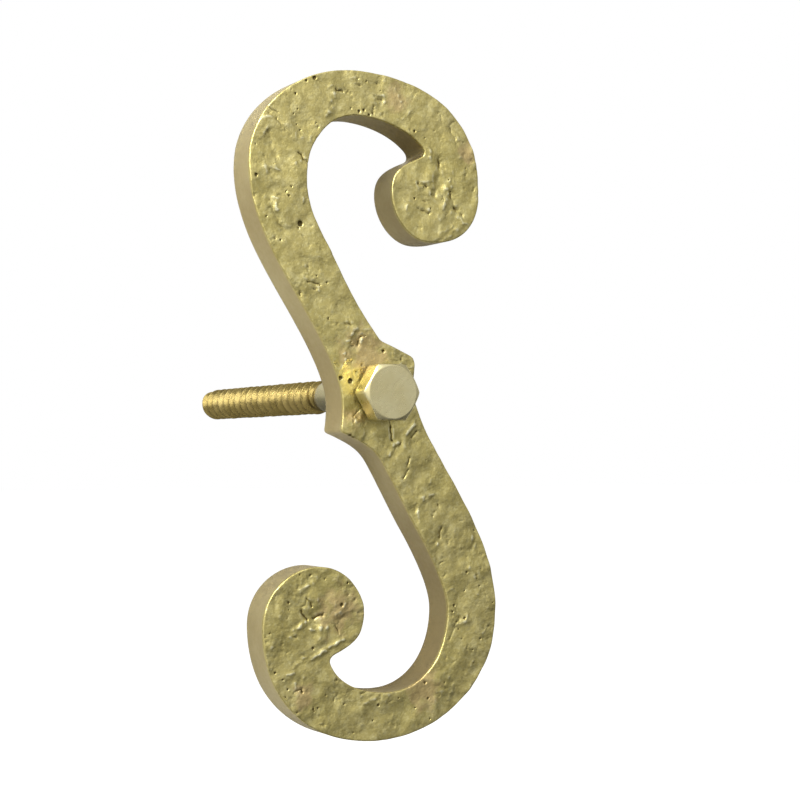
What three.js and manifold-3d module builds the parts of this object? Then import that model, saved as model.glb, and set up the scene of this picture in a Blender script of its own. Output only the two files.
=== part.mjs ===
// Shutter dog holdback: an S-shaped cast brass dog that turns on the shank of a brass lag screw.
//
// Frame: millimetres, +Z up, +X to the right and +Y into the wall, as seen by somebody who faces the
// open shutter. The origin is on the screw's axis, in the surface of the wall.

import * as THREE from "three";
import { mergeVertices } from "three/addons/utils/BufferGeometryUtils.js";
import Module from "manifold-3d";

// Driving dimensions of the dog.
const DOG_THICKNESS = 9.5;
const DOG_EDGE = 0.4; // softened edge round both faces and both mouths of the bore
const BORE_DIAMETER = 9.6; // 3/8 in drill, loose on the shank
const WALL_GAP = 33; // wall to the back of the dog: a 1 1/4 in shutter and a little play

// Driving dimensions of the lag screw: 5/16 in by 4 in under the head.
const SCREW_LENGTH = 101.6;
const SHANK_DIAMETER = 7.94;
const SMOOTH_LENGTH = 25.5; // plain shank under the head
const RUNOUT_LENGTH = 4.5; // taper from the shank to the root of the thread
const ROOT_DIAMETER = 5.7;
const CREST_DIAMETER = 8.1;
const THREAD_PITCH = 3.65;
const POINT_LENGTH = 5.2; // shoulder and nose of the gimlet point
const NOSE_LENGTH = 3.3;
const NOSE_DIAMETER = 3; // where the nose leaves the shoulder
const TIP_DIAMETER = 1; // blunt end of the nose
const HEAD_ACROSS_FLATS = 12.7;
const HEAD_HEIGHT = 5.1;
const HEAD_CHAMFER = 0.7;
const END_PLAY = 0.8; // between the underside of the head and the dog

// Fineness of the facets.
const CURVE_STEPS = 9; // on each stretch of the dog's outline
const ROUND_STEPS = 32; // round the screw
const THREAD_STEPS = 14; // on each turn of the thread
const MERGE_DISTANCE = 1e-4;

// Stations along the wall's normal.
const dogBack = -WALL_GAP;
const headUnderside = dogBack - DOG_THICKNESS - END_PLAY;

const wasm = await Module();
wasm.setup();

// A closed three.js geometry as a solid for the boolean cuts and joins.
function toSolid(geometry) {
  const bare = geometry.clone();
  bare.deleteAttribute("normal");
  bare.deleteAttribute("uv");
  const merged = mergeVertices(bare, MERGE_DISTANCE);
  return new wasm.Manifold(new wasm.Mesh({
    numProp: 3,
    vertProperties: Float32Array.from(merged.attributes.position.array),
    triVerts: Uint32Array.from(merged.index.array),
  }));
}

// The solid back as a three.js geometry.
function toGeometry(solid) {
  const mesh = solid.getMesh();
  const geometry = new THREE.BufferGeometry();
  geometry.setAttribute("position", new THREE.BufferAttribute(mesh.vertProperties, 3));
  geometry.setIndex(new THREE.BufferAttribute(mesh.triVerts, 1));
  geometry.computeVertexNormals();
  return geometry;
}

// The upper half of the S: from the left cusp up the outside of the arm, over the arch, round the
// scroll end and back down the inside of the arm to the right cusp. The bore's centre is at 0, 0.
function upperScroll(outline) {
  outline.moveTo(-9.9, -8.8);
  outline.bezierCurveTo(-9.5, -6.4, -9.4, -5.4, -9.4, -2.9);
  outline.bezierCurveTo(-9.4, 5.7, -19.3, 18.4, -25.5, 28.8);
  outline.bezierCurveTo(-29.6, 35.6, -32.6, 42.9, -32.6, 50.4);
  outline.bezierCurveTo(-32.6, 63.9, -19.2, 73.3, -5.4, 73.3);
  outline.bezierCurveTo(12.6, 73.3, 26.5, 65.9, 26.5, 48.4);
  outline.bezierCurveTo(26.5, 39.4, 21.9, 35.2, 13, 35.2);
  outline.bezierCurveTo(7.7, 35.2, 3.1, 40.8, 3.1, 46.6);
  outline.bezierCurveTo(3.1, 51.7, 7, 53.1, 11.4, 55.1);
  outline.quadraticCurveTo(12.3, 55.9, 11.4, 57.2);
  outline.bezierCurveTo(7.4, 61.3, 0.3, 63.1, -5.4, 63.1);
  outline.bezierCurveTo(-13.2, 63.1, -18.6, 55.7, -18.6, 48.2);
  outline.bezierCurveTo(-18.6, 41.2, -15.1, 36.6, -11.7, 30.3);
  outline.bezierCurveTo(-8, 23.4, -6, 20.5, -1.5, 14);
  outline.quadraticCurveTo(-0.2, 12.1, 0.3, 11.9);
  outline.lineTo(8.3, 8.6);
}

// The lower half, which is the larger one: from the right cusp down the outside of the arm, round
// the bottom arch and the scroll end, and up the inside of the arm to the left cusp.
function lowerScroll(outline) {
  outline.quadraticCurveTo(9, 8.2, 9.1, 6.9);
  outline.lineTo(9, 0.4);
  outline.bezierCurveTo(9.5, -6.5, 17.6, -17.1, 23.8, -27.4);
  outline.bezierCurveTo(28.2, -34.7, 31, -41.9, 31, -50.5);
  outline.bezierCurveTo(31, -68.5, 14.9, -78.6, -0.1, -78.6);
  outline.bezierCurveTo(-17.7, -78.6, -29, -68.2, -29, -51.8);
  outline.bezierCurveTo(-29, -44.4, -22.6, -39, -15.3, -39);
  outline.bezierCurveTo(-8.7, -39, -4, -44.7, -4, -49.6);
  outline.bezierCurveTo(-4, -55.1, -6.4, -56.4, -11.5, -58.7);
  outline.quadraticCurveTo(-13, -59.4, -12.5, -60.6);
  outline.bezierCurveTo(-10.4, -66, -3.1, -67.9, 2.4, -67.9);
  outline.bezierCurveTo(12.1, -67.9, 18, -59.8, 18, -50);
  outline.bezierCurveTo(18, -45.3, 13.9, -37.8, 10.3, -32);
  outline.bezierCurveTo(6.4, -25.8, 4.8, -22.3, 1.1, -16.2);
  outline.bezierCurveTo(-1.2, -12.4, -3.8, -11.5, -9.9, -8.8);
}

// The dog: a flat S plate with a plain round bore at its middle, its back towards the wall.
function makeDog() {
  const outline = new THREE.Shape();
  upperScroll(outline);
  lowerScroll(outline);
  const bore = new THREE.Path();
  bore.absarc(0, 0, BORE_DIAMETER / 2, 0, 2 * Math.PI);
  outline.holes.push(bore);
  const plate = new THREE.ExtrudeGeometry(outline, {
    depth: DOG_THICKNESS - 2 * DOG_EDGE,
    bevelThickness: DOG_EDGE,
    bevelSize: DOG_EDGE,
    bevelOffset: -DOG_EDGE,
    bevelSegments: 1,
    curveSegments: CURVE_STEPS,
  });
  plate.translate(0, 0, DOG_EDGE);
  plate.rotateX(Math.PI / 2);
  return toGeometry(toSolid(plate));
}

// The centre line of the thread's ridge: a right-hand helix along +Y, at the radius of the root. It
// starts sunk into the runout and draws in over the last turn, down to the nose.
class ThreadHelix extends THREE.Curve {
  constructor() {
    super();
    this.start = SMOOTH_LENGTH + RUNOUT_LENGTH / 2;
    this.length = SCREW_LENGTH - 0.7 * NOSE_LENGTH - this.start;
    this.turns = this.length / THREAD_PITCH;
  }

  radiusAt(along) {
    const sunk = 1 - THREE.MathUtils.smoothstep(along, this.start, this.start + RUNOUT_LENGTH);
    const pointStart = SCREW_LENGTH - POINT_LENGTH;
    const drawnIn = THREE.MathUtils.smoothstep(along, pointStart, SCREW_LENGTH - NOSE_LENGTH / 2);
    const nose = THREE.MathUtils.lerp(ROOT_DIAMETER, NOSE_DIAMETER, drawnIn) / 2;
    return nose - 0.3 * sunk - 0.6 * drawnIn;
  }

  getPoint(t, target = new THREE.Vector3()) {
    const angle = 2 * Math.PI * this.turns * t;
    const along = this.start + this.length * t;
    const radius = this.radiusAt(along);
    return target.set(radius * Math.sin(angle), along, radius * Math.cos(angle));
  }

  // Frames that keep the ridge's section in the plane of the axis: its x runs outwards.
  computeFrenetFrames(segments) {
    const frames = { tangents: [], normals: [], binormals: [] };
    for (let i = 0; i <= segments; i += 1) {
      const point = this.getPointAt(i / segments);
      frames.tangents.push(this.getTangentAt(i / segments));
      frames.normals.push(new THREE.Vector3(point.x, 0, point.z).normalize());
      frames.binormals.push(new THREE.Vector3(0, -1, 0));
    }
    return frames;
  }
}

// The ridge of the thread: broad at the root, nearly sharp at the crest.
function makeThread() {
  const crest = (CREST_DIAMETER - ROOT_DIAMETER) / 2;
  const crestHalf = 0.12;
  const baseHalf = 0.95;
  const buried = 0.35;
  const section = new THREE.Shape();
  section.moveTo(-buried, -baseHalf);
  section.lineTo(crest, -crestHalf);
  section.lineTo(crest, crestHalf);
  section.lineTo(-buried, baseHalf);
  const helix = new ThreadHelix();
  helix.arcLengthDivisions = Math.ceil(helix.turns * 60);
  return new THREE.ExtrudeGeometry(section, {
    steps: Math.ceil(helix.turns * THREAD_STEPS),
    extrudePath: helix,
    bevelEnabled: false,
  });
}

// The hexagon head: two flats level, its outer corners chamfered.
function makeHead() {
  const corner = HEAD_ACROSS_FLATS / 2 / Math.cos(Math.PI / 6);
  const hexagon = new THREE.CylinderGeometry(corner, corner, HEAD_HEIGHT, 6);
  hexagon.rotateY(Math.PI / 6);
  hexagon.translate(0, -HEAD_HEIGHT / 2, 0);
  const slope = Math.tan(Math.PI / 6);
  const faceRadius = HEAD_ACROSS_FLATS / 2 - HEAD_CHAMFER / 3;
  const reach = corner + 1;
  const turned = new THREE.LatheGeometry([
    new THREE.Vector2(0, -HEAD_HEIGHT),
    new THREE.Vector2(faceRadius, -HEAD_HEIGHT),
    new THREE.Vector2(reach, -HEAD_HEIGHT + (reach - faceRadius) * slope),
    new THREE.Vector2(reach, 1),
    new THREE.Vector2(0, 1),
  ], ROUND_STEPS);
  return toSolid(hexagon).intersect(toSolid(turned));
}

// The lag screw, with the underside of its head at y = 0 and its point along +Y.
function makeLagScrew() {
  const core = new THREE.LatheGeometry([
    new THREE.Vector2(0, -HEAD_HEIGHT / 2),
    new THREE.Vector2(SHANK_DIAMETER / 2, -HEAD_HEIGHT / 2),
    new THREE.Vector2(SHANK_DIAMETER / 2, SMOOTH_LENGTH),
    new THREE.Vector2(ROOT_DIAMETER / 2, SMOOTH_LENGTH + RUNOUT_LENGTH),
    new THREE.Vector2(ROOT_DIAMETER / 2, SCREW_LENGTH - POINT_LENGTH),
    new THREE.Vector2(NOSE_DIAMETER / 2, SCREW_LENGTH - NOSE_LENGTH),
    new THREE.Vector2(TIP_DIAMETER / 2, SCREW_LENGTH),
    new THREE.Vector2(0, SCREW_LENGTH),
  ], ROUND_STEPS);
  const screw = toSolid(core).add(makeHead()).add(toSolid(makeThread()));
  return toGeometry(screw);
}

// One named sub-part of the holdback.
function addPart(group, name, geometry, color, roughness, y) {
  const material = new THREE.MeshStandardMaterial({ color, roughness, metalness: 1 });
  const mesh = new THREE.Mesh(geometry, material);
  mesh.name = name;
  mesh.position.y = y;
  group.add(mesh);
}

const holdback = new THREE.Group();
addPart(holdback, "dog", makeDog(), "#b0a569", 0.45, dogBack);
addPart(holdback, "lag_screw", makeLagScrew(), "#b5a878", 0.35, headUnderside);

export default holdback;
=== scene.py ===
"""Looks of the shutter dog holdback: an S-shaped cast brass dog on a brass lag screw.

Lengths inside the shape functions are millimetres: X runs to the right, Z up and Y into the wall.
The hammered face of the dog looks along -Y.
"""
import math

import bpy
import bmesh
import numpy as np
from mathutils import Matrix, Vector
from mathutils.geometry import delaunay_2d_cdt


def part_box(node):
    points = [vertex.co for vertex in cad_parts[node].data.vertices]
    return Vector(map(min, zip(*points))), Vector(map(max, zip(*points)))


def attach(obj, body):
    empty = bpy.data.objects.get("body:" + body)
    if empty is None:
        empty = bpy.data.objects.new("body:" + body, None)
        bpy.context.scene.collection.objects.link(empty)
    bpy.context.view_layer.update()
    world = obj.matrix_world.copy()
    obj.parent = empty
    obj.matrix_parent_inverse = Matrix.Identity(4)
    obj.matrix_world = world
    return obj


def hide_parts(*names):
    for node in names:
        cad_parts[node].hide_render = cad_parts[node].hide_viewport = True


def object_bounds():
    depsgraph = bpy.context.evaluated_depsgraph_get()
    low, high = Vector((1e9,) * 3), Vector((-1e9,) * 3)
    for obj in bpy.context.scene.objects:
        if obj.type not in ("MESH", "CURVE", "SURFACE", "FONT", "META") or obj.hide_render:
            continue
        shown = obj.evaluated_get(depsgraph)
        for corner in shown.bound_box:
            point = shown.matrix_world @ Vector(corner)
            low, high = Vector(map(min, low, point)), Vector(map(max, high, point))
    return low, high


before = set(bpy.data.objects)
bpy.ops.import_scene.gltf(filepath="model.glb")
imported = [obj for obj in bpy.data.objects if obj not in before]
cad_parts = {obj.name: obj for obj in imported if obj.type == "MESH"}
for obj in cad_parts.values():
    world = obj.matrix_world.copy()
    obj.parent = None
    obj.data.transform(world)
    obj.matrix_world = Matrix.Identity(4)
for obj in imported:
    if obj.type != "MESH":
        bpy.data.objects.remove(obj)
cad_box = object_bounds()

MM = 0.001

# The camera: to the left of the dog's normal and a little low. Its distance is from the bore.
VIEW_YAW = 29.2  # degrees to the left
VIEW_RISE = -2.0  # degrees above the horizon
VIEW_DISTANCE = 385.0
VIEW_RIGHT = 4.35  # how far it is shifted to its right, and up
VIEW_UP = -1.6
LENS = 76.2
SENSOR = 36.0

# How bright the studio is, and how much brighter from each side.
WORLD_BASE = 0.45
WORLD_LEFT = 0.75
WORLD_RIGHT = 0.5
WORLD_FRONT = 0.72
WORLD_ABOVE = 0.45
WORLD_LOW = 0.54  # below the horizon, as a share of the brightness above it
WORLD_LEAST = 0.14
WORLD_MOST = 1.5
WORLD_ON_PAPER = 0.10  # the share of it that lights matt things

# The studio's furniture, in metres.
FLOOR_SIZE = 6.0
FLOOR_DROP = 0.06  # from the lowest point of the dog
CARD_GAP = 0.0025  # from the back of the dog
CARD_REACH = 0.6

# The dog's surface: how far apart its points are, and the radii of its worn edges.
OUTLINE_STEP = 0.45
OUTLINE_BLUR = 0.5
FACE_STEP = 0.30
MARK_STEP = 0.13  # about creases and pits
BACK_STEP = 1.1
BORE_POINTS = 112
FRONT_EDGE = 0.25
BACK_EDGE = 0.45
BORE_EDGE = 0.25
BACK_WAVE = 0.05  # unevenness of the back

# How far down the sides the worn hammering reaches, and the mean depth of the hammered face.
RELIEF_FADE = 2.6
RELIEF_DEPTH = 0.40

# How many small marks of each kind are strewn over the face.
FAINT_CREASES = 36
SHORT_RIDGES = 114
FINE_PITS = 55

# The lag screw: a 5/16 x 4 in one.
SHANK_RADIUS = 3.97
ROOT_RADIUS = 2.85
CREST_RADIUS = 4.07
PITCH = 3.65
HEAD_HEIGHT = 5.1
HEAD_CHAMFER = 30  # degrees
HEAD_EDGE = 0.4  # radius of the head's lower edge
FILLET = 0.3  # under the head
SMOOTH_LENGTH = 25.5
RUNOUT_LENGTH = 4.5
POINT_LENGTH = 5.2
NOSE_LENGTH = 3.3
NOSE_RADIUS = 1.5
TIP_RADIUS = 0.55
BARE_TIP = 0.36  # beyond the thread's last row of points


# ---------------------------------------------------------------- noise

def noise(x, z, size, seed):
    """Smooth noise between about -1 and 1, with lumps about size across."""
    rng = np.random.default_rng(seed)
    heading = rng.uniform(0, 2 * math.pi, (64, 64))
    turn = rng.uniform(0, 2 * math.pi)
    u = (x * math.cos(turn) - z * math.sin(turn)) / size
    v = (x * math.sin(turn) + z * math.cos(turn)) / size
    cell_u = np.floor(u).astype(int)
    cell_v = np.floor(v).astype(int)
    total = np.zeros_like(u)
    for du in (0, 1):
        for dv in (0, 1):
            along_u = u - cell_u - du
            along_v = v - cell_v - dv
            at = heading[(cell_u + du) % 64, (cell_v + dv) % 64]
            slope = np.cos(at) * along_u + np.sin(at) * along_v
            total += slope * fade(1 - abs(along_u)) * fade(1 - abs(along_v))
    return 1.5 * total


def fade(t):
    """A step from 0 to 1 with level, uncurved ends."""
    return t * t * t * (t * (6 * t - 15) + 10)


def smoothstep(low, high, value):
    """0 below low, 1 above high, and smooth between them; low may be the greater."""
    t = np.clip((value - low) / (high - low), 0, 1)
    return t * t * (3 - 2 * t)


def rough_noise(x, z, size, seed):
    """Three octaves of noise."""
    coarse = noise(x, z, size, seed)
    middle = noise(x, z, size / 2, seed + 1)
    fine = noise(x, z, size / 4, seed + 2)
    return coarse + 0.5 * middle + 0.25 * fine


# ---------------------------------------------------------------- outline of the dog

def cad_points(name):
    """The CAD node's corners, in millimetres, with coincident ones joined, and its edges."""
    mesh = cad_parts[name].data
    points = np.array([v.co[:] for v in mesh.vertices]) / MM
    joined, index = np.unique(np.round(points, 3), axis=0, return_inverse=True)
    index = index.reshape(-1)
    edges = {tuple(sorted((index[a], index[b]))) for a, b in mesh.edge_keys}
    return joined, [e for e in edges if e[0] != e[1]]


def loops_at(points, edges, level):
    """The closed loops of edges that lie in the plane y = level, as lists of point numbers."""
    on = abs(points[:, 1] - level) < 0.01
    near = {}
    for a, b in edges:
        if on[a] and on[b]:
            near.setdefault(a, []).append(b)
            near.setdefault(b, []).append(a)
    loops = []
    while near:
        here = next(iter(near))
        loop = []
        while here in near:
            loop.append(here)
            ahead = [n for n in near.pop(here) if n in near]
            here = ahead[0] if ahead else None
        loops.append(loop)
    return sorted(loops, key=len, reverse=True)


def smooth_loop(corners, step, blur):
    """A closed loop through the corners, evenly spaced, with its sharp corners eased by blur."""
    knots = np.vstack([corners[-1], corners, corners[:2]])
    fine = []
    for p0, p1, p2, p3 in zip(knots, knots[1:], knots[2:], knots[3:]):
        gaps = [max(math.dist(a, b), 1e-6) ** 0.5 for a, b in ((p0, p1), (p1, p2), (p2, p3))]
        t0, t1 = 0.0, gaps[0]
        t2 = t1 + gaps[1]
        t3 = t2 + gaps[2]
        for t in np.linspace(t1, t2, 24, endpoint=False):
            a1 = p0 + (p1 - p0) * (t - t0) / (t1 - t0)
            a2 = p1 + (p2 - p1) * (t - t1) / (t2 - t1)
            a3 = p2 + (p3 - p2) * (t - t2) / (t3 - t2)
            b1 = a1 + (a2 - a1) * (t - t0) / (t2 - t0)
            b2 = a2 + (a3 - a2) * (t - t1) / (t3 - t1)
            fine.append(b1 + (b2 - b1) * (t - t1) / (t2 - t1))
    fine_step = 0.1
    fine = resample(np.array(fine), fine_step)
    reach = int(4 * blur / fine_step)
    weights = np.exp(-0.5 * (np.arange(-reach, reach + 1) * fine_step / blur) ** 2)
    weights /= weights.sum()
    padded = np.vstack([fine[-reach:], fine, fine[:reach]])
    eased = np.column_stack([np.convolve(padded[:, k], weights, "valid") for k in (0, 1)])
    return resample(eased, step)


def resample(loop, step):
    """The closed loop again, with its points evenly spaced, about step apart."""
    closed = np.vstack([loop, loop[:1]])
    along = np.concatenate([[0], np.cumsum(np.linalg.norm(np.diff(closed, axis=0), axis=1))])
    count = int(round(along[-1] / step))
    at = np.linspace(0, along[-1], count, endpoint=False)
    return np.column_stack([np.interp(at, along, closed[:, k]) for k in (0, 1)])


def turned_left(loop):
    """The loop running anticlockwise."""
    x, z = loop.T
    area = np.sum(x * np.roll(z, -1) - np.roll(x, -1) * z)
    return loop if area > 0 else loop[::-1]


def outward(loop):
    """Unit normals of an anticlockwise loop, away from what it encloses."""
    ahead = np.roll(loop, -1, axis=0) - np.roll(loop, 1, axis=0)
    ahead /= np.linalg.norm(ahead, axis=1)[:, None]
    return np.column_stack([ahead[:, 1], -ahead[:, 0]])


# ---------------------------------------------------------------- relief of the hammered face

# Each crease: its two ends, its half width and its depth. The deepest read as dark cracks, darkened
# also by the painted shade that the material puts in hollows.
CREASES = [
    ((2.5, -4.5), (2.7, -7.5), 0.20, 0.22),
    ((2.7, -7.5), (3.2, -10.8), 0.24, 0.36),
    ((-5.0, -3.7), (-6.8, -5.4), 0.26, 0.18),
    ((8.5, -10.0), (9.8, -8.8), 0.34, 0.30),
    ((-5.8, 10.6), (-4.8, 12.6), 0.42, 0.34),
    ((7.0, -16.5), (7.8, -14.8), 0.30, 0.30),
    ((6.0, -19.5), (7.5, -17.5), 0.26, 0.24),
    ((-19.6, -48.6), (-18.1, -50.7), 0.26, 0.42),
    ((-16.7, -50.5), (-14.3, -49.5), 0.26, 0.40),
    ((-18.2, -45.8), (-17.0, -47.8), 0.24, 0.30),
    ((-11.2, -52.3), (-10.4, -54.2), 0.20, 0.20),
    ((-4.6, -68.0), (-1.6, -66.2), 0.24, 0.26),
    ((-21.5, -66.4), (-19.4, -65.6), 0.22, 0.22),
    ((-11.4, 68.4), (-9.4, 68.0), 0.22, 0.30),
    ((-20.8, 53.2), (-18.4, 51.0), 0.24, 0.32),
    ((-28.6, 63.0), (-25.6, 61.8), 0.18, 0.20),
    ((-26.0, 60.4), (-24.0, 58.0), 0.20, 0.20),
    ((-28.0, 57.0), (-25.2, 49.5), 0.70, 0.20),
    ((-27.5, 40.5), (-24.2, 35.8), 0.60, 0.28),
    ((10.2, 42.8), (13.1, 41.9), 0.30, 0.22),
    ((10.2, 48.9), (12.0, 48.1), 0.30, 0.28),
    ((18.7, 47.2), (19.8, 43.8), 0.55, 0.22),
    ((19.8, 43.8), (22.0, 42.2), 0.50, 0.26),
    ((15.6, 55.0), (15.9, 52.8), 0.42, 0.28),
    ((18.7, 62.4), (20.4, 59.0), 0.40, 0.20),
    ((-18.2, 24.5), (-15.6, 24.0), 0.26, 0.24),
    ((16.0, -31.0), (15.6, -33.4), 0.34, 0.30),
    ((21.0, -52.0), (18.4, -56.5), 0.45, 0.16),
]
# Each raised ridge: its two ends, its half width and its height.
RIDGES = [
    ((2.4, -13.9), (4.4, -11.4), 0.55, 0.30),
    ((6.8, -9.2), (9.0, -6.8), 0.55, 0.28),
    ((-8.4, 11.6), (-6.4, 14.0), 0.60, 0.34),
    ((-9.4, 8.6), (-7.8, 10.6), 0.40, 0.18),
    ((-10.4, 5.0), (-8.8, 7.4), 0.36, 0.16),
    ((3.8, 5.4), (5.4, 6.8), 0.40, 0.16),
    ((7.4, 5.4), (9.0, 6.6), 0.42, 0.20),
    ((-20.2, -44.4), (-17.0, -42.6), 0.55, 0.30),
    ((-22.4, -53.8), (-18.8, -51.2), 0.60, 0.34),
    ((-17.0, -52.7), (-13.6, -52.7), 0.65, 0.34),
    ((-17.2, -59.2), (-13.4, -57.4), 0.55, 0.30),
    ((-13.4, -57.4), (-9.4, -55.2), 0.45, 0.30),
    ((-21.8, -61.0), (-19.0, -59.0), 0.40, 0.14),
    ((-11.0, -49.6), (-9.0, -47.6), 0.40, 0.18),
    ((-11.9, 66.8), (-13.4, 62.8), 0.95, 0.34),
    ((-21.6, 51.0), (-20.6, 49.2), 0.95, 0.36),
    ((-28.8, 49.4), (-28.2, 47.4), 0.70, 0.30),
    ((-28.2, 49.8), (-25.4, 49.2), 0.60, 0.24),
    ((-29.6, 56.0), (-28.4, 58.4), 0.70, 0.24),
    ((-26.4, 42.6), (-26.0, 40.4), 0.65, 0.28),
    ((0.8, 68.2), (1.2, 66.8), 0.55, 0.18),
    ((3.8, 70.0), (5.4, 67.4), 0.42, 0.16),
    ((6.0, 63.4), (8.4, 65.4), 0.34, 0.14),
    ((16.6, 44.6), (18.6, 50.0), 0.95, 0.32),
    ((15.4, 41.0), (17.4, 44.4), 0.75, 0.26),
    ((12.4, 57.0), (13.6, 54.4), 0.75, 0.26),
    ((20.6, 41.8), (22.2, 40.4), 0.40, 0.18),
    ((17.6, 38.4), (19.4, 39.6), 0.34, 0.14),
    ((11.0, -24.0), (13.8, -23.2), 0.75, 0.24),
    ((17.0, -46.0), (19.6, -45.0), 0.30, 0.14),
    ((-3.6, -70.0), (-0.6, -68.6), 0.45, 0.16),
    ((2.0, -69.0), (4.0, -67.0), 0.40, 0.14),
]
# Each dent or, with a negative depth, each bump: its place, its two half widths and its depth.
DENTS = [
    ((-6.0, 10.0), (3.2, 3.8), 0.26),
    ((15.4, 49.6), (1.3, 2.6), 0.42),
    ((16.2, 53.6), (1.2, 1.8), 0.22),
    ((14.4, 46.8), (0.9, 1.1), 0.32),
    ((0.0, 67.2), (1.2, 0.8), 0.24),
    ((-26.4, 53.0), (1.9, 4.2), -0.14),
    ((-26.2, 46.6), (2.2, 1.4), -0.12),
    ((-23.6, 38.4), (1.6, 2.6), -0.12),
    ((-14.8, -54.6), (1.9, 1.6), -0.20),
    ((-17.4, -50.0), (2.2, 1.6), 0.20),
    ((-25.0, -49.4), (2.0, 1.4), -0.12),
    ((-16.8, -46.4), (2.0, 2.4), -0.10),
    ((8.4, -11.4), (1.8, 1.6), 0.20),
    ((20.4, -38.5), (1.6, 3.0), 0.12),
    ((22.0, 47.0), (2.6, 4.8), -0.16),
    ((13.0, 50.4), (2.4, 3.2), -0.12),
    ((-19.0, 60.5), (3.8, 3.0), 0.12),
]
# Each sharp pit: its place, its radius and its depth.
PITS = [
    ((-7.5, 2.6), 0.62, 0.60), ((-10.0, 3.2), 0.50, 0.45), ((-7.7, -9.8), 0.36, 0.34),
    ((-6.9, -10.2), 0.26, 0.26), ((0.8, 9.6), 0.40, 0.40), ((-20.1, 37.4), 0.66, 0.65),
    ((-29.4, 35.2), 0.38, 0.36), ((-31.0, 47.4), 0.40, 0.40), ((-33.0, 45.6), 0.30, 0.30),
    ((-32.8, 44.0), 0.34, 0.34), ((-23.0, 43.4), 0.28, 0.26), ((-32.6, 52.4), 0.30, 0.30),
    ((-17.5, -40.8), 0.26, 0.28), ((-22.8, -46.6), 0.30, 0.30), ((-8.2, -42.8), 0.28, 0.30),
    ((-9.8, -47.6), 0.42, 0.40), ((-16.9, -56.9), 0.34, 0.36), ((-19.6, -66.4), 0.34, 0.34),
    ((-26.0, -61.8), 0.28, 0.28), ((-24.2, -63.4), 0.24, 0.24), ((-23.0, -65.6), 0.24, 0.24),
    ((-16.8, -70.4), 0.30, 0.30), ((-15.6, -70.2), 0.24, 0.26), ((-0.4, -70.6), 0.34, 0.36),
    ((-16.8, 70.4), 0.50, 0.44), ((-18.8, 69.6), 0.30, 0.28), ((-21.4, 66.4), 0.28, 0.26),
    ((-5.4, 64.0), 0.34, 0.32), ((-4.2, 64.4), 0.32, 0.30), ((-2.8, 63.4), 0.34, 0.32),
    ((-8.9, 62.4), 0.28, 0.26), ((9.0, 60.8), 0.32, 0.34), ((9.2, 45.2), 0.24, 0.26),
    ((19.6, -49.0), 0.34, 0.36), ((19.2, -50.4), 0.26, 0.28), ((22.4, -52.0), 0.30, 0.28),
    ((23.0, -41.4), 0.26, 0.28), ((12.6, -70.0), 0.26, 0.26), ((11.8, -66.4), 0.28, 0.28),
    ((26.6, -57.0), 0.26, 0.26), ((-27.2, 30.0), 0.26, 0.26), ((-25.0, 33.4), 0.24, 0.24),
]
# Where the casting's copper shows: a place and a radius for each blotch.
COPPER = [((-4.0, 9.0), 7.0), ((-10.5, -49.0), 6.0), ((23.5, 57.0), 3.6), ((11.0, -67.5), 6.5),
          ((4.5, 68.0), 4.0), ((-6.5, -6.0), 3.0), ((-19.5, -67.0), 3.5)]


def scattered(loop, bore_radius):
    """Small marks strewn over the face: faint creases, short ridges and fine pits."""
    rng = np.random.default_rng(7)
    free = lattice(loop, bore_radius, 1.6, 0.9)
    spots = free[rng.permutation(len(free))] + rng.uniform(-0.7, 0.7, (len(free), 2))
    first_pit = FAINT_CREASES + SHORT_RIDGES
    creases = []
    ridges = []
    pits = []
    for x, z in spots[:FAINT_CREASES]:
        heading = rng.uniform(0, math.pi)
        creases.append(short_mark(rng, x, z, heading, (0.3, 0.9), (0.2, 0.36), (0.06, 0.16)))
    for x, z in spots[FAINT_CREASES:first_pit]:
        heading = rng.normal(1.0, 0.5)
        ridges.append(short_mark(rng, x, z, heading, (0.2, 0.8), (0.3, 0.65), (0.05, 0.18)))
    for x, z in spots[first_pit:first_pit + FINE_PITS]:
        pits.append(((x, z), rng.uniform(0.12, 0.22), rng.uniform(0.12, 0.26)))
    return creases, ridges, pits


def short_mark(rng, x, z, heading, reaches, widths, depths):
    """A straight mark about a place: its ends, half width and depth, drawn from three ranges."""
    reach = rng.uniform(*reaches)
    step_x = reach * math.cos(heading)
    step_z = reach * math.sin(heading)
    width = rng.uniform(*widths)
    depth = rng.uniform(*depths)
    return (x - step_x, z - step_z), (x + step_x, z + step_z), width, depth


def from_line(x, z, start, end):
    """Distance of each point from a straight line between two ends."""
    along_x, along_z = end[0] - start[0], end[1] - start[1]
    share = ((x - start[0]) * along_x + (z - start[1]) * along_z) / (along_x ** 2 + along_z ** 2)
    share = np.clip(share, 0, 1)
    return np.hypot(x - start[0] - share * along_x, z - start[1] - share * along_z)


class Sorted:
    """Points in order of level, to pick those in a band quickly."""

    def __init__(self, z):
        self.order = np.argsort(z)
        self.levels = z[self.order]

    def band(self, low, high):
        """The numbers of the points between two levels."""
        first, last = np.searchsorted(self.levels, (low, high))
        return self.order[first:last]


def straight_marks(x, z, marks, power):
    """The sum of straight marks; the power sets how sharp their cross-section is."""
    total = np.zeros_like(x)
    levels = Sorted(z)
    for start, end, width, rise in marks:
        reach = 3 * width
        near = levels.band(min(start[1], end[1]) - reach, max(start[1], end[1]) + reach)
        away = from_line(x[near], z[near], start, end) / width
        total[near] += rise * np.exp(-away ** power)
    return total


def dents(x, z):
    """Depth of the dents and bumps."""
    total = np.zeros_like(x)
    for (middle_x, middle_z), (half_x, half_z), depth in DENTS:
        away = np.hypot((x - middle_x) / half_x, (z - middle_z) / half_z)
        total += depth * np.clip(1 - (away / 1.35) ** 2, 0, 1) ** 2
    return total


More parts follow.
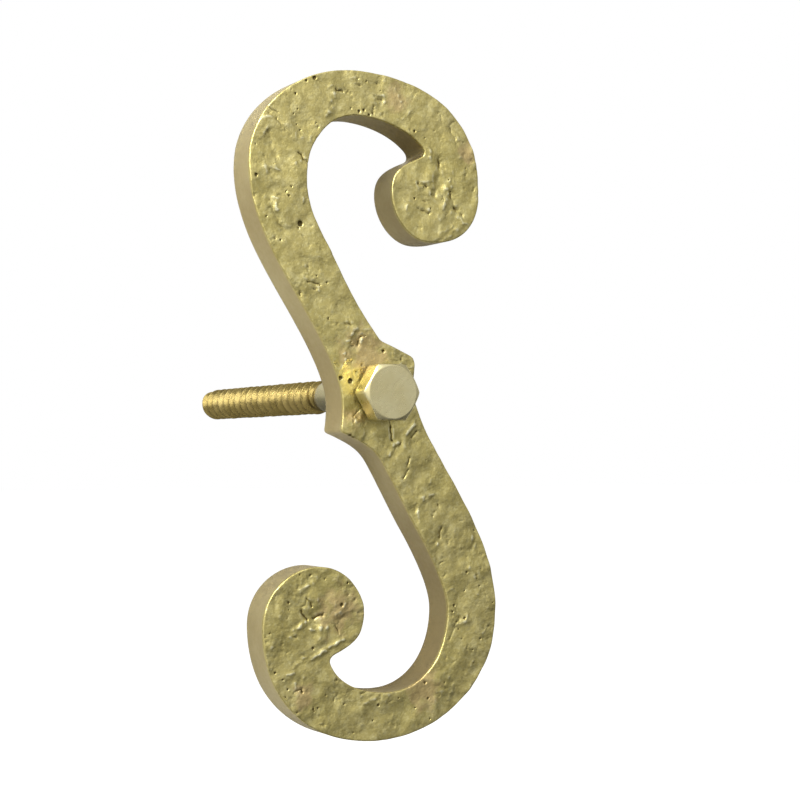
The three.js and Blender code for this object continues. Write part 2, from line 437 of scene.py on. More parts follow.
def hammering(x, z):
    """The broad waves, the hammer marks and the rough patches of the bare casting."""
    rough = smoothstep(-0.05, 0.35, noise(x, z, 7.5, 31))
    total = 0.15 * noise(x, z, 12.0, 11) + 0.155 * noise(x, z, 5.5, 12) + 0.082 * noise(x, z, 2.8, 13)
    total += 0.58 * facets(x, z, 5.0, 20)
    total += (0.015 + 0.045 * rough) * rough_noise(x, z, 1.8, 32)
    pocks = np.clip(rough_noise(x, z, 1.4, 37) - 0.45, 0, 0.6)
    return total - (0.06 + 0.30 * rough) * pocks


class Relief:
    """The hammered face: how high it is at each point, and where its sharpest marks are."""

    def __init__(self, loop, bore_radius):
        creases, ridges, pits = scattered(loop, bore_radius)
        self.creases = CREASES + creases
        self.ridges = RIDGES + ridges
        self.pits = PITS + pits
        self.bore_radius = bore_radius

    def ground(self, x, z):
        """Height without the pits; it never passes zero, the plane of the highest marks."""
        warped_x = x + 0.35 * noise(x, z, 1.4, 61)
        warped_z = z + 0.35 * noise(x, z, 1.4, 62)
        fading = 0.65 + 0.6 * noise(x, z, 1.2, 64)
        ridges = straight_marks(warped_x, warped_z, self.ridges, 2)
        creases = straight_marks(warped_x, warped_z, self.creases, 1.6)
        ground = hammering(x, z) - dents(warped_x, warped_z)
        ground += ridges * fading - creases * np.sqrt(np.maximum(fading, 0))
        near_bore = 1 - smoothstep(self.bore_radius, self.bore_radius + 3.0, np.hypot(x, z))
        ground = ground * (1 - 0.5 * near_bore) - RELIEF_DEPTH
        soft = 0.05
        return -soft * np.log1p(np.exp(np.clip(-(ground + 0.04) / soft, -40, 40)))

    def pitted(self, x, z):
        """Depth of the pits."""
        total = np.zeros_like(x)
        levels = Sorted(z)
        for (middle_x, middle_z), radius, depth in self.pits:
            near = levels.band(middle_z - radius, middle_z + radius)
            away = np.hypot(x[near] - middle_x, z[near] - middle_z) / radius
            total[near] = np.maximum(total[near], depth * np.clip(1.4 * (1 - away ** 2), 0, 1))
        return total

    def height(self, x, z):
        """Height of the face, with its pits."""
        return self.ground(x, z) - self.pitted(x, z)

    def hollow(self, x, z):
        """How far each point lies below the mean of the points about it; more in the pits."""
        total = np.zeros_like(x)
        reaches = (0.4, 0.85)
        quarters = np.linspace(0, 2 * math.pi, 4, endpoint=False)
        for reach in reaches:
            for turn in quarters + reach:
                total += self.ground(x + reach * math.cos(turn), z + reach * math.sin(turn))
        mean = total / (len(reaches) * len(quarters))
        return mean - self.ground(x, z) + 1.4 * self.pitted(x, z)

    def by_marks(self, x, z, reach):
        """Whether each point is within reach of the border of a crease or a pit."""
        found = np.zeros(len(x), bool)
        levels = Sorted(z)
        for start, end, width, _ in self.creases:
            limit = width + reach
            near = levels.band(min(start[1], end[1]) - limit, max(start[1], end[1]) + limit)
            found[near] |= from_line(x[near], z[near], start, end) < limit
        for (middle_x, middle_z), radius, _ in self.pits:
            near = levels.band(middle_z - radius - reach, middle_z + radius + reach)
            found[near] |= np.hypot(x[near] - middle_x, z[near] - middle_z) < radius + reach
        return found


def copper(x, z):
    """How coppery the face is at each point, from 0 to 1."""
    total = np.zeros_like(x)
    for (middle_x, middle_z), radius in COPPER:
        away = np.hypot(x - middle_x, z - middle_z) / radius
        total = np.maximum(total, smoothstep(1.0, 0.35, away + 0.45 * rough_noise(x, z, 3.0, 91)))
    return total


def facets(x, z, size, seed):
    """Hammer marks: flat facets, each with its own height and tilt, that blend at their borders."""
    rng = np.random.default_rng(seed)
    jitter = rng.uniform(-0.42, 0.42, (64, 64, 2))
    tilt = rng.uniform(-0.1, 0.1, (64, 64, 2))
    height = rng.uniform(-0.12, 0.12, (64, 64))
    warped_x = x + 1.1 * noise(x, z, 5.0, seed + 1)
    warped_z = z + 1.1 * noise(x, z, 5.0, seed + 2)
    cell_x = np.floor(warped_x / size).astype(int)
    cell_z = np.floor(warped_z / size).astype(int)
    away = []
    plane = []
    for dx in (-1, 0, 1):
        for dz in (-1, 0, 1):
            i = (cell_x + dx) % 64
            j = (cell_z + dz) % 64
            off_x = warped_x - (cell_x + dx + 0.5 + jitter[i, j, 0]) * size
            off_z = warped_z - (cell_z + dz + 0.5 + jitter[i, j, 1]) * size
            away.append(off_x ** 2 + off_z ** 2)
            plane.append(height[i, j] + tilt[i, j, 0] * off_x + tilt[i, j, 1] * off_z)
    away = np.array(away)
    plane = np.array(plane)
    blend = 4.0 + 3.0 * noise(x, z, 9.0, seed + 3)
    weight = np.exp(-(away - away.min(axis=0)) / np.maximum(blend, 0.8))
    return (weight * plane).sum(axis=0) / weight.sum(axis=0)


# ---------------------------------------------------------------- mesh of the dog

def inside(loop, x, z):
    """Whether each point lies inside the closed loop."""
    hit = np.zeros(len(x), bool)
    levels = Sorted(z)
    for (x0, z0), (x1, z1) in zip(loop, np.roll(loop, -1, axis=0)):
        if z0 != z1:
            near = levels.band(min(z0, z1), max(z0, z1))
            hit[near] ^= x[near] < (x1 - x0) * (z[near] - z0) / (z1 - z0) + x0
    return hit


def clearance(loop, x, z):
    """Distance from each point to the nearest point of the loop, where it is under 2 mm."""
    best = np.full(len(x), 2.0)
    levels = Sorted(z)
    for near_x, near_z in loop:
        near = levels.band(near_z - 2.0, near_z + 2.0)
        best[near] = np.minimum(best[near], np.hypot(x[near] - near_x, z[near] - near_z))
    return best


def lattice(loop, bore_radius, step, margin, wanted=None):
    """Points of a triangular lattice inside the outline, outside the bore and, if asked, wanted."""
    low, high = loop.min(axis=0), loop.max(axis=0)
    x = []
    z = []
    for number, height in enumerate(np.arange(low[1], high[1], step * math.sqrt(0.75))):
        line = np.arange(low[0] + (number % 2) * step / 2, high[0], step)
        x.append(line)
        z.append(np.full(len(line), height))
    points = np.column_stack([np.concatenate(x), np.concatenate(z)])
    points = points[np.linalg.norm(points, axis=1) > bore_radius + margin]
    if wanted is not None:
        points = points[wanted(*points.T)]
    points = points[inside(loop, *points.T)]
    return points[clearance(loop, *points.T) > margin]


def triangulate(outer, inner, points):
    """Triangles between two loops through the points, with none across the bore.

    They number the points of outer first, then those of inner, then the rest.
    """
    every = np.vstack([outer, inner, points])
    first = [(i, (i + 1) % len(outer)) for i in range(len(outer))]
    start = len(outer)
    second = [(start + i, start + (i + 1) % len(inner)) for i in range(len(inner))]
    found = delaunay_2d_cdt([Vector(p) for p in every], first + second, [], 1, 1e-5)
    source = [origin[0] for origin in found[3]]
    radius = np.linalg.norm(inner, axis=1).mean()
    triangles = []
    for face in found[2]:
        a, b, c = (source[i] for i in face)
        middle = (every[a] + every[b] + every[c]) / 3
        if math.hypot(*middle) > radius * 0.995:
            triangles.append((a, b, c))
    return triangles


def edge_profile(thickness, front_edge, back_edge):
    """(inset, depth) down the side of the plate, from the front face to the back face."""
    profile = []
    for angle in np.radians(np.linspace(0, 90, 5)):
        profile.append((front_edge * (1 - math.sin(angle)), front_edge * (1 - math.cos(angle))))
    for share in (0.08, 0.14, 0.2, 0.28, 0.36, 0.45, 0.54, 0.63, 0.72, 0.81, 0.89):
        profile.append((0.0, thickness * share))
    for angle in np.radians(np.linspace(0, 90, 4)):
        inset = back_edge * (1 - math.cos(angle))
        profile.append((inset, thickness - back_edge * (1 - math.sin(angle))))
    return profile


def plate_side(loop, normals, profile, front, relief, step):
    """The side wall as rows of points, the front row first."""
    rows = []
    distance = np.arange(len(loop)) * step
    worn = 1 + 0.45 * noise(distance, np.zeros(len(loop)), 2.2, 63)
    for inset, depth in profile:
        near_face = 1 - smoothstep(0.3, 1.2, depth)
        flat = loop - normals * (inset * (1 + (worn - 1) * near_face))[:, None]
        sway = 0.035 * noise(distance, np.full(len(loop), 0.6 * depth), 11.0, 61)
        flat = flat - normals * (abs(sway) * smoothstep(0.5, 2.0, depth))[:, None]
        sink = relief.height(*flat.T) * (1 - smoothstep(FRONT_EDGE, RELIEF_FADE, depth))
        rows.append(np.column_stack([flat[:, 0], front + depth - sink, flat[:, 1]]))
    return rows


def face_points(outline, bore_radius, relief):
    """Points all over the face, closer together about its creases and pits."""
    margin = FRONT_EDGE * 1.5 + 0.3 * FACE_STEP
    broad = lattice(outline, bore_radius, FACE_STEP, margin,
                    lambda x, z: ~relief.by_marks(x, z, 0.12))
    close = lattice(outline, bore_radius, MARK_STEP, margin,
                    lambda x, z: relief.by_marks(x, z, 0.06))
    return np.vstack([broad, close])


class MeshParts:
    """Points and faces gathered for one mesh."""

    def __init__(self):
        self.points = []
        self.faces = []
        self.count = 0

    def add(self, points):
        """Adds points and returns the number of the first."""
        self.points.append(points)
        self.count += len(points)
        return self.count - len(points)

    def strips(self, first, count, rows, turned_over):
        """Quads between the rows of count points that follow point number first."""
        for row in range(rows - 1):
            for i in range(count):
                a = first + row * count + i
                b = first + row * count + (i + 1) % count
                quad = (a, b, b + count, a + count)
                self.faces.append(quad[::-1] if turned_over else quad)

    def cap(self, outer, outer_first, inner, inner_first, points, first):
        """A flat or hammered face between two loops."""
        number = np.concatenate([outer_first + np.arange(len(outer)),
                                 inner_first + np.arange(len(inner)),
                                 first + np.arange(len(points))])
        for triangle in triangulate(outer, inner, points):
            self.faces.append(tuple(int(number[corner]) for corner in triangle))


def make_dog():
    """The dog as one closed mesh, with the hammered relief, its edges and its bore."""
    corners, edges = cad_points("dog")
    levels = np.unique(np.round(corners[:, 1], 2))
    front = levels[0]
    thickness = levels[-1] - levels[0]
    walls = loops_at(corners, edges, levels[1])
    outline = turned_left(smooth_loop(corners[walls[0]][:, (0, 2)], OUTLINE_STEP, OUTLINE_BLUR))
    bore_radius = np.linalg.norm(corners[walls[1]][:, (0, 2)], axis=1).max()
    angle = np.linspace(0, 2 * math.pi, BORE_POINTS, endpoint=False)
    bore = bore_radius * np.column_stack([np.cos(angle), np.sin(angle)])
    relief = Relief(outline, bore_radius)

    parts = MeshParts()
    outer = plate_side(outline, outward(outline), edge_profile(thickness, FRONT_EDGE, BACK_EDGE),
                       front, relief, OUTLINE_STEP)
    inner = plate_side(bore, -outward(bore), edge_profile(thickness, BORE_EDGE, BORE_EDGE),
                       front, relief, 2 * math.pi * bore_radius / BORE_POINTS)
    outer_first = parts.add(np.vstack(outer))
    inner_first = parts.add(np.vstack(inner))
    parts.strips(outer_first, len(outline), len(outer), True)
    parts.strips(inner_first, len(bore), len(inner), False)

    face = face_points(outline, bore_radius, relief)
    face_first = parts.add(np.column_stack([face[:, 0], front - relief.height(*face.T), face[:, 1]]))
    parts.cap(outer[0][:, (0, 2)], outer_first, inner[0][:, (0, 2)], inner_first, face, face_first)

    rear = lattice(outline, bore_radius, BACK_STEP, BACK_EDGE + 0.6 * BACK_STEP)
    back = front + thickness
    level = np.minimum(back + BACK_WAVE * noise(*rear.T, 7.0, 71) - BACK_WAVE, back)
    rear_first = parts.add(np.column_stack([rear[:, 0], level, rear[:, 1]]))
    last_outer = outer_first + (len(outer) - 1) * len(outline)
    last_inner = inner_first + (len(inner) - 1) * len(bore)
    parts.cap(outer[-1][:, (0, 2)], last_outer, inner[-1][:, (0, 2)], last_inner, rear, rear_first)
    return np.vstack(parts.points), parts.faces, front, relief, outline


def new_object(name, points, faces):
    """A smooth-shaded mesh object from points in millimetres."""
    mesh = bpy.data.meshes.new(name)
    mesh.from_pydata((points * MM).tolist(), [], faces)
    mesh.validate()
    shape = bmesh.new()
    shape.from_mesh(mesh)
    bmesh.ops.remove_doubles(shape, verts=shape.verts, dist=1e-7)
    bmesh.ops.dissolve_degenerate(shape, edges=shape.edges, dist=1e-7)
    bmesh.ops.recalc_face_normals(shape, faces=shape.faces)
    for face in shape.faces:
        face.smooth = True
    shape.to_mesh(mesh)
    shape.free()
    thing = bpy.data.objects.new(name, mesh)
    bpy.context.scene.collection.objects.link(thing)
    return thing


def corners_of(thing):
    """The corners of a mesh object, in millimetres."""
    return np.array([v.co[:] for v in thing.data.vertices]) / MM


def add_attribute(thing, name, values):
    """Writes a number on each corner, for the material to read."""
    layer = thing.data.attributes.new(name, "FLOAT", "POINT")
    layer.data.foreach_set("value", np.asarray(values, np.float32))


# ---------------------------------------------------------------- mesh of the lag screw

def screw_columns():
    """Angles round the screw, closer together near the six corners of the head."""
    half = [0, 0.8, 1.7, 2.8, 4.4, 6.8, 10, 14, 18.5, 24, 30]
    sector = sorted({-a for a in half[:-1]} | set(half))
    angles = [60 * corner + a for corner in range(6) for a in sector]
    return np.radians(np.array(sorted({round(a % 360, 3) for a in angles})))


def hexagon_radius(angle, across):
    """Distance from the axis to the hexagon's side, with its six corners slightly rounded."""
    corner = math.radians(60)
    from_corner = abs((angle + corner / 2) % corner - corner / 2)
    from_flat = corner / 2 - np.sqrt(from_corner ** 2 + math.radians(1.6) ** 2)
    return across / 2 / np.cos(from_flat)


def softly_least(a, b):
    """The lesser of two radii, with the edge where they meet rounded."""
    return (a ** -60.0 + b ** -60.0) ** (-1 / 60)


def core_radius(along):
    """Radius of the screw without its thread, at a distance below the head."""
    total = screw_length()
    stations = [0, SMOOTH_LENGTH, SMOOTH_LENGTH + 0.45 * RUNOUT_LENGTH, SMOOTH_LENGTH + RUNOUT_LENGTH,
                total - POINT_LENGTH, total - NOSE_LENGTH, total - 0.35, total - 0.1, total]
    radii = [SHANK_RADIUS, SHANK_RADIUS, SHANK_RADIUS - 0.35, ROOT_RADIUS,
             ROOT_RADIUS, NOSE_RADIUS, TIP_RADIUS + 0.25, TIP_RADIUS * 0.8, 0.0]
    return np.interp(along, stations, radii)


def screw_length():
    """From under the head to the tip."""
    low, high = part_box("lag_screw")
    return (high[1] - low[1]) / MM - HEAD_HEIGHT


def thread_radius(along, angle):
    """Radius of the threaded part: concave flanks between thin crests."""
    total = screw_length()
    start = SMOOTH_LENGTH + RUNOUT_LENGTH / 2
    turns = (along - start) / PITCH - angle / (2 * math.pi)
    away = abs(turns - np.round(turns))
    profile = np.clip(1 - (away - 0.012) / 0.30, 0, 1) ** 1.7
    grown = smoothstep(start, start + 1.2 * PITCH, along)
    drawn = 1 - 0.75 * smoothstep(total - POINT_LENGTH, total - 0.5 * NOSE_LENGTH, along)
    wobble = 1 + 0.07 * noise(along * 1.3, 5 * angle, 4.0, 81)
    return core_radius(along) + (CREST_RADIUS - ROOT_RADIUS) * profile * grown * drawn * wobble


class ScrewMesh:
    """Points and faces of the screw, gathered about its axis from the head to the tip."""

    def __init__(self, underside):
        self.underside = underside
        self.angles = screw_columns()
        self.points = []
        self.faces = []

    def add(self, along, radius, angle):
        """Adds one point, at a distance below the head."""
        self.points.append((radius * math.sin(angle), self.underside + along,
                            radius * math.cos(angle)))

    def ring(self, along, radii):
        """Adds a ring at a distance below the head and returns the number of its first point."""
        first = len(self.points)
        for angle, radius in zip(self.angles, np.broadcast_to(radii, len(self.angles))):
            self.add(along, radius, angle)
        return first

    def join(self, rings):
        """Faces between each ring and the next."""
        count = len(self.angles)
        for first, second in zip(rings, rings[1:]):
            for i in range(count):
                j = (i + 1) % count
                self.faces.append((first + i, first + j, second + j, second + i))

    def fan(self, along, first):
        """Closes a ring onto a point on the axis."""
        count = len(self.angles)
        self.add(along, 0.0, 0.0)
        for i in range(count):
            self.faces.append((len(self.points) - 1, first + i, first + (i + 1) % count))


def head_rings(screw, across):
    """The chamfered hexagon head, from its top to the fillet under it."""
    # Two flats of the head lie level, so its corners point along X.
    sides = hexagon_radius(screw.angles - math.radians(30), across)
    rings = [screw.ring(-HEAD_HEIGHT, radius) for radius in (1.2, 2.6, 4.0, 5.2, 5.85)]
    screw.fan(-HEAD_HEIGHT, rings[0])
    for depth in np.concatenate([np.linspace(0.0, 1.1, 16), np.linspace(1.4, HEAD_HEIGHT - 0.6, 7)]):
        slope = max(depth - 0.02, -0.02) / math.tan(math.radians(HEAD_CHAMFER))
        cone = np.full(len(sides), across / 2 - 0.25 + slope)
        rings.append(screw.ring(depth - HEAD_HEIGHT, softly_least(sides, cone)))
    for turn in np.radians(np.linspace(15, 90, 6)):
        inset = HEAD_EDGE * (1 - math.cos(turn))
        rings.append(screw.ring(-HEAD_EDGE * (1 - math.sin(turn)), sides - inset))
    foot = SHANK_RADIUS + FILLET
    for share in (0.75, 0.5, 0.25, 0.08):
        rings.append(screw.ring(0.0, foot + (sides - HEAD_EDGE - foot) * share))
    for turn in np.radians(np.linspace(0, 90, 5)):
        radius = SHANK_RADIUS + FILLET * (1 - math.sin(turn))
        rings.append(screw.ring(FILLET * (1 - math.cos(turn)), radius))
    return rings


def shank_rings(screw, thread_start):
    """The plain shank and the start of its taper."""
    rings = [screw.ring(along, SHANK_RADIUS) for along in np.linspace(0.8, SMOOTH_LENGTH - 0.5, 40)]
    for along in np.linspace(SMOOTH_LENGTH, thread_start, 9):
        rings.append(screw.ring(along, core_radius(along)))
    return rings


def add_thread(screw, start, finish):
    """Rows of points that follow the helix, flattened against its first and last ring."""
    phases = [0, 0.012, 0.03, 0.06, 0.1, 0.15, 0.21, 0.28, 0.36, 0.45, 0.55, 0.64, 0.72, 0.79, 0.85,
              0.9, 0.94, 0.97, 0.988]
    turns = math.ceil((finish - start) / PITCH)
    lines = [turn + phase for turn in range(-1, turns + 1) for phase in phases]
    count = len(screw.angles)
    base = len(screw.points)
    line, angle = (grid.ravel() for grid in np.meshgrid(lines, screw.angles, indexing="ij"))
    along = np.clip(start + PITCH * (line + angle / (2 * math.pi)), start, finish)
    radii = thread_radius(along, angle)
    radii = np.where(along <= start + 1e-9, core_radius(start), radii)
    radii = np.where(along >= finish - 1e-9, core_radius(finish), radii)
    for point in zip(along, radii, angle):
        screw.add(*point)
    for row in range(len(lines) - 1):
        for i in range(count):
            a = row * count + i
            b = a + 1 if i + 1 < count else (row + len(phases)) * count
            if b + count < len(lines) * count:
                screw.faces.append((base + a, base + b, base + b + count, base + a + count))


def make_screw():
    """The lag screw as one closed mesh: its points, its faces and the level of its head's underside."""
    low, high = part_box("lag_screw")
    underside = low[1] / MM + HEAD_HEIGHT
    total = screw_length()
    start = SMOOTH_LENGTH + RUNOUT_LENGTH / 2
    finish = total - BARE_TIP
    screw = ScrewMesh(underside)
    screw.join(head_rings(screw, (high[2] - low[2]) / MM) + shank_rings(screw, start))
    add_thread(screw, start, finish)
    nose = [screw.ring(along, core_radius(along))
            for along in (finish, total - 0.2, total - 0.1, total - 0.05)]
    screw.join(nose)
    screw.fan(total, nose[-1])
    return np.array(screw.points), screw.faces, underside


# ---------------------------------------------------------------- materials

def shader(name):
    """A new metal material, its node tree and its Principled node."""
    material = bpy.data.materials.new(name)
    material.use_nodes = True
    tree = material.node_tree
    surface = tree.nodes["Principled BSDF"]
    surface.inputs["Metallic"].default_value = 1.0
    return material, tree, surface


def attribute(tree, name):
    """A number written on the mesh."""
    made = tree.nodes.new("ShaderNodeAttribute")
    made.attribute_name = name
    return made.outputs["Fac"]


def split_vector(tree, vector):
    """The X, Y and Z of a vector socket."""
    made = tree.nodes.new("ShaderNodeSeparateXYZ")
    tree.links.new(vector, made.inputs["Vector"])
    return [made.outputs[axis] for axis in "XYZ"]


def noise_node(tree, where, scale, detail=4.0, rough=0.55):
    """Noise from 0 to 1, about scale lumps to the metre."""
    made = tree.nodes.new("ShaderNodeTexNoise")
    made.inputs["Scale"].default_value = scale
    made.inputs["Detail"].default_value = detail
    made.inputs["Roughness"].default_value = rough
    tree.links.new(where, made.inputs["Vector"])
    return made.outputs["Fac"]


def span(tree, value, low, high, to_low, to_high):
    """A smooth step from to_low, where the value is low, to to_high, where it is high."""
    made = tree.nodes.new("ShaderNodeMapRange")
    made.interpolation_type = "SMOOTHSTEP"
    tree.links.new(value, made.inputs["Value"])
    for key, number in (("From Min", low), ("From Max", high), ("To Min", to_low), ("To Max", to_high)):
        made.inputs[key].default_value = number
    return made.outputs["Result"]


def mixed(tree, factor, first, second):
    """A colour mix; first and second are colours or sockets."""
    made = tree.nodes.new("ShaderNodeMix")
    made.data_type = "RGBA"
    tree.links.new(factor, made.inputs["Factor"])
    for socket, value in ((made.inputs["A"], first), (made.inputs["B"], second)):
        if isinstance(value, tuple):
            socket.default_value = (*value, 1)
        else:
            tree.links.new(value, socket)
    return made.outputs["Result"]


def reckon(tree, operation, *values):
    """Arithmetic of the named kind, on numbers or sockets."""
    made = tree.nodes.new("ShaderNodeMath")
    made.operation = operation
    for socket, value in zip(made.inputs, values):
        if isinstance(value, (int, float)):
            socket.default_value = value
        else:
            tree.links.new(value, socket)
    return made.outputs["Value"]


def bump(tree, surface, height, distance, strength):
    """Fine roughness from a height socket; its strength is a number or a socket."""
    made = tree.nodes.new("ShaderNodeBump")
    made.inputs["Distance"].default_value = distance
    if isinstance(strength, float):
        made.inputs["Strength"].default_value = strength
    else:
        tree.links.new(strength, made.inputs["Strength"])
    tree.links.new(height, made.inputs["Height"])
    tree.links.new(made.outputs["Normal"], surface.inputs["Normal"])


def hammered_gold(tree, where, broad):
    """The olive gold of the face, mottled and speckled, with faint copper blotches."""
    gold = mixed(tree, span(tree, broad, 0.35, 0.65, 0, 1), (0.565, 0.49, 0.185), (0.615, 0.535, 0.225))
    mottle = noise_node(tree, where, 420, 4, 0.65)
    gold = mixed(tree, span(tree, mottle, 0.40, 0.62, 0.45, 0), gold, (0.44, 0.37, 0.125))
    gold = mixed(tree, span(tree, mottle, 0.52, 0.70, 0, 0.35), gold, (0.70, 0.64, 0.33))
    speck = noise_node(tree, where, 1500, 3, 0.7)
    gold = mixed(tree, span(tree, speck, 0.38, 0.56, 0.30, 0), gold, (0.42, 0.345, 0.11))
    gold = mixed(tree, span(tree, speck, 0.52, 0.68, 0, 0.30), gold, (0.74, 0.68, 0.37))
    coppery = reckon(tree, "MULTIPLY", attribute(tree, "copper"), 0.55)
    return mixed(tree, coppery, gold, (0.58, 0.42, 0.21))


def side_brass_painted_shade(tree, where, broad):
    """The duller brass of the sides, darker and browner on the inner ones to the right, below the arch:
    painted shade, partly their browner colour.
    """
    wall = mixed(tree, span(tree, broad, 0.3, 0.7, 0, 1), (0.45, 0.37, 0.19), (0.545, 0.47, 0.26))
    x, _, z = split_vector(tree, where)
    shade_to_right = span(tree, x, -0.004, 0.012, 0, 0.65)
    shade_below_arch = span(tree, z, 0.048, 0.056, 1, 0.1)
    # Painted shade: the side walls right of the bore and below the arch are darkened towards brown,
    # where shade falls inside the scroll.
    return mixed(tree, reckon(tree, "MULTIPLY", shade_to_right, shade_below_arch), wall, (0.33, 0.26, 0.13))


def cast_brass():
    """Raw cast brass: golden on the hammered face, with painted shade in its hollows and pits, and pale
    on its ridges, partly wear and partly painted highlight.
    """
    material, tree, surface = shader("cast_brass_looks")
    where = tree.nodes.new("ShaderNodeTexCoord").outputs["Object"]
    hollow = attribute(tree, "hollow")
    face = attribute(tree, "face")
    broad = noise_node(tree, where, 60, 3)
    colour = mixed(tree, face, side_brass_painted_shade(tree, where, broad), hammered_gold(tree, where, broad))
    # Painted shade: the hollows, creases and pits are darkened nearly to black.
    colour = mixed(tree, span(tree, hollow, 0.04, 0.17, 0, 0.93), colour, (0.12, 0.09, 0.03))
    # Pale ridges and rims: partly worn brass, partly painted highlight.
    colour = mixed(tree, span(tree, hollow, -0.02, -0.12, 0, 0.75), colour, (0.88, 0.84, 0.56))
    tree.links.new(colour, surface.inputs["Base Color"])

    rough = span(tree, noise_node(tree, where, 900, 3, 0.6), 0.3, 0.7, 0.36, 0.50)
    rough = reckon(tree, "ADD", rough, span(tree, hollow, 0.05, 0.2, 0, 0.25))
    tree.links.new(rough, surface.inputs["Roughness"])

    grain = reckon(tree, "MULTIPLY", noise_node(tree, where, 2400, 3, 0.6), 0.6)
    grain = reckon(tree, "ADD", grain, noise_node(tree, where, 850, 3, 0.6))
    bump(tree, surface, grain, 0.00014, span(tree, face, 0, 1, 0.12, 0.7))
    return material


def turned_brass():
    """Turned and rolled brass: brighter on the shank, golden and dull in the thread, darker in the
    thread's valleys.
    """
    material, tree, surface = shader("turned_brass_looks")
    where = tree.nodes.new("ShaderNodeTexCoord").outputs["Object"]
    patch = span(tree, noise_node(tree, where, 160, 4), 0.35, 0.65, 0, 1)
    plain = mixed(tree, patch, (0.68, 0.60, 0.32), (0.73, 0.66, 0.38))
    golden = mixed(tree, patch, (0.46, 0.355, 0.12), (0.55, 0.43, 0.16))
    colour = mixed(tree, attribute(tree, "thread"), plain, golden)
    # Darker in the thread's valleys.
    valley_dark = reckon(tree, "MULTIPLY", attribute(tree, "valley"), 0.35)
    tree.links.new(mixed(tree, valley_dark, colour, (0.22, 0.15, 0.05)), surface.inputs["Base Color"])
    fine = noise_node(tree, where, 700, 3, 0.6)
    tree.links.new(span(tree, fine, 0.3, 0.7, 0.24, 0.36), surface.inputs["Roughness"])
    bump(tree, surface, fine, 0.0001, 0.25)
    return material


# ---------------------------------------------------------------- the pieces

def add_dog():
    """The cast dog; returns its outline."""
    points, faces, front, relief, outline = make_dog()
    dog = new_object("dog_casting", points, faces)
    x, y, z = corners_of(dog).T
    on_face = 1 - smoothstep(front + 0.8, front + 1.5, y)
    # The hollow drives painted shade in the hollows and pits, and the pale ridges, partly painted
    # highlight.
    add_attribute(dog, "hollow", relief.hollow(x, z) * on_face)
    add_attribute(dog, "face", on_face)
    add_attribute(dog, "copper", copper(x, z) * on_face)
    dog.data.materials.append(cast_brass())
    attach(dog, "dog")
    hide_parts("dog")
    return outline


def add_screw():
    """The brass lag screw."""
    points, faces, underside = make_screw()
    screw = new_object("lag_screw_turned", points, faces)
    x, y, z = corners_of(screw).T
    along = y - underside
    deep = 1 - smoothstep(0.1, 0.8, np.hypot(x, z) - ROOT_RADIUS)
    tapering = SMOOTH_LENGTH + 2
    add_attribute(screw, "thread", smoothstep(tapering, SMOOTH_LENGTH + RUNOUT_LENGTH, along))
    add_attribute(screw, "valley", deep * smoothstep(tapering, tapering + 2, along))
    screw.data.materials.append(turned_brass())
    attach(screw, "lag_screw")
    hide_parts("lag_screw")


# ---------------------------------------------------------------- studio

def sheet(name, corners, faces, material):
    """A flat thing of the studio."""
    mesh = bpy.data.meshes.new(name)
    mesh.from_pydata(corners, [], faces)
    mesh.materials.append(material)
    made = bpy.data.objects.new(name, mesh)
    bpy.context.scene.collection.objects.link(made)
    return made


def paint(name, colour, glow):
    """A matt material, with a white glow of its own."""
    material = bpy.data.materials.new(name)
    material.use_nodes = True
    surface = material.node_tree.nodes["Principled BSDF"]
    surface.inputs["Base Color"].default_value = (*colour, 1)
    surface.inputs["Roughness"].default_value = 0.9
    surface.inputs["Emission Color"].default_value = (1, 1, 1, 1)
    surface.inputs["Emission Strength"].default_value = glow
    return material


def pale_floor():
    """A wide white floor, a little below the dog. The metal reflects the studio, not the floor."""
    size = FLOOR_SIZE
    level = cad_box[0][2] - FLOOR_DROP
    corners = [(-size, -size, level), (size, -size, level), (size, size, level), (-size, size, level)]
    floor = sheet("floor", corners, [(0, 1, 2, 3)], paint("floor_paint", (0.5, 0.5, 0.5), 0.9))
    floor.visible_glossy = False


def light_round_about(tree):
    """How bright the studio is in each direction: most from the front left and above."""
    direction = tree.nodes.new("ShaderNodeTexCoord").outputs["Generated"]
    x, y, z = split_vector(tree, direction)
    from_left = reckon(tree, "MULTIPLY", x, -WORLD_LEFT)
    from_left = reckon(tree, "MULTIPLY", from_left, span(tree, y, -0.2, 0.3, 1, 0.2))
    from_right = span(tree, x, 0.72, 0.98, 0, WORLD_RIGHT)
    from_front = reckon(tree, "MULTIPLY", reckon(tree, "MINIMUM", y, 0.0), -WORLD_FRONT)
    from_above = reckon(tree, "MULTIPLY", z, WORLD_ABOVE)
    total = reckon(tree, "ADD", from_left, from_front)
    total = reckon(tree, "ADD", total, from_above)
    total = reckon(tree, "ADD", total, from_right)
    total = reckon(tree, "ADD", total, WORLD_BASE)
    total = reckon(tree, "MULTIPLY", total, span(tree, z, -0.10, 0.03, WORLD_LOW, 1))
    return reckon(tree, "MAXIMUM", reckon(tree, "MINIMUM", total, WORLD_MOST), WORLD_LEAST)


def soft_world():
    """White to the camera, soft light to the metal, and little light to matt things."""
    world = bpy.data.worlds.new("studio")
    bpy.context.scene.world = world
    world.use_nodes = True
    tree = world.node_tree
    paths = tree.nodes.new("ShaderNodeLightPath")
    dimmed = span(tree, paths.outputs["Is Diffuse Ray"], 0, 1, 1, WORLD_ON_PAPER)
    white = tree.nodes.new("ShaderNodeMix")
    white.data_type = "FLOAT"
    tree.links.new(paths.outputs["Is Camera Ray"], white.inputs["Factor"])
    tree.links.new(reckon(tree, "MULTIPLY", light_round_about(tree), dimmed), white.inputs["A"])
    white.inputs["B"].default_value = 1.0
    background = tree.nodes["Background"]
    tree.links.new(white.outputs["Result"], background.inputs["Strength"])
    background.inputs["Color"].default_value = (1, 1, 1, 1)


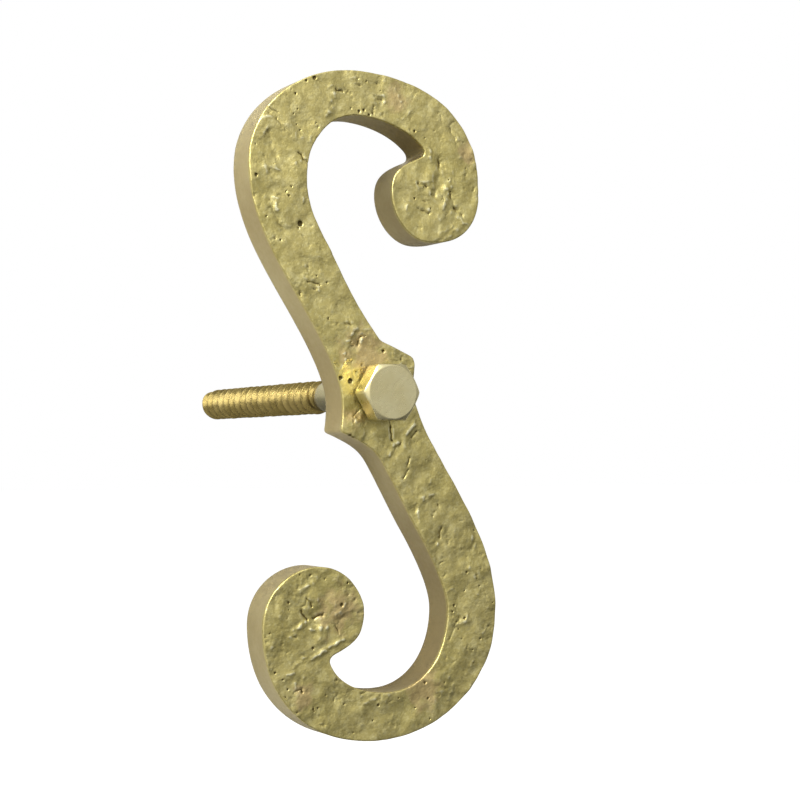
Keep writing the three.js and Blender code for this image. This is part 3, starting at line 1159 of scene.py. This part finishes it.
def backing_card(outline):
    """A pale card close behind the dog, cut out behind it, that its side walls reflect."""
    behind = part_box("dog")[1][1] + CARD_GAP
    reach = CARD_REACH / MM
    rim = [(-reach, -reach), (reach, -reach), (reach, reach), (-reach, reach)]
    corners = np.vstack([rim, outline[::6]])
    count = len(corners) - 4
    edges = [(i, (i + 1) % 4) for i in range(4)]
    edges += [(4 + i, 4 + (i + 1) % count) for i in range(count)]
    found = delaunay_2d_cdt([Vector(p) for p in corners], edges, [], 1, 1e-5)
    flat = np.array([p[:] for p in found[0]])
    middles = np.array([flat[list(face)].mean(axis=0) for face in found[2]])
    outside = ~inside(outline, *middles.T)
    faces = [tuple(face) for face, keep in zip(found[2], outside) if keep]
    card = sheet("card", [(x * MM, behind, z * MM) for x, z in flat], faces,
                 paint("card_paper", (0.47, 0.46, 0.42), 0))
    card.visible_camera = False
    card.visible_shadow = False


def softbox(name, place, size, power):
    """A round lamp aimed at the origin, where the screw meets the wall."""
    data = bpy.data.lights.new(name, "AREA")
    data.shape = "DISK"
    data.size = size
    data.energy = power
    lamp = bpy.data.objects.new(name, data)
    lamp.location = place
    lamp.rotation_euler = (-Vector(place)).to_track_quat("-Z", "Y").to_euler()
    bpy.context.scene.collection.objects.link(lamp)


def main_camera():
    """The camera of the main picture."""
    bore = Vector((0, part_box("dog")[0][1], 0))
    yaw, rise = math.radians(VIEW_YAW), math.radians(VIEW_RISE)
    back = Vector((-math.sin(yaw) * math.cos(rise), -math.cos(yaw) * math.cos(rise), math.sin(rise)))
    turn = back.to_track_quat("Z", "Y")
    data = bpy.data.cameras.new("camera")
    data.lens = LENS
    data.sensor_width = SENSOR
    data.clip_start = 0.01
    data.clip_end = 50
    camera = bpy.data.objects.new("camera", data)
    camera.location = bore + turn @ Vector((VIEW_RIGHT, VIEW_UP, VIEW_DISTANCE)) * MM
    camera.rotation_mode = "QUATERNION"
    camera.rotation_quaternion = turn
    bpy.context.scene.collection.objects.link(camera)
    bpy.context.scene.camera = camera


dog_outline = add_dog()
add_screw()
pale_floor()
soft_world()
backing_card(dog_outline)
softbox("key", place=(-0.5, -0.93, 0.9), size=0.5, power=6.2)
softbox("side", place=(-0.31, -0.16, 0.30), size=0.3, power=3.2)
main_camera()
bpy.context.scene.view_settings.view_transform = "Standard"
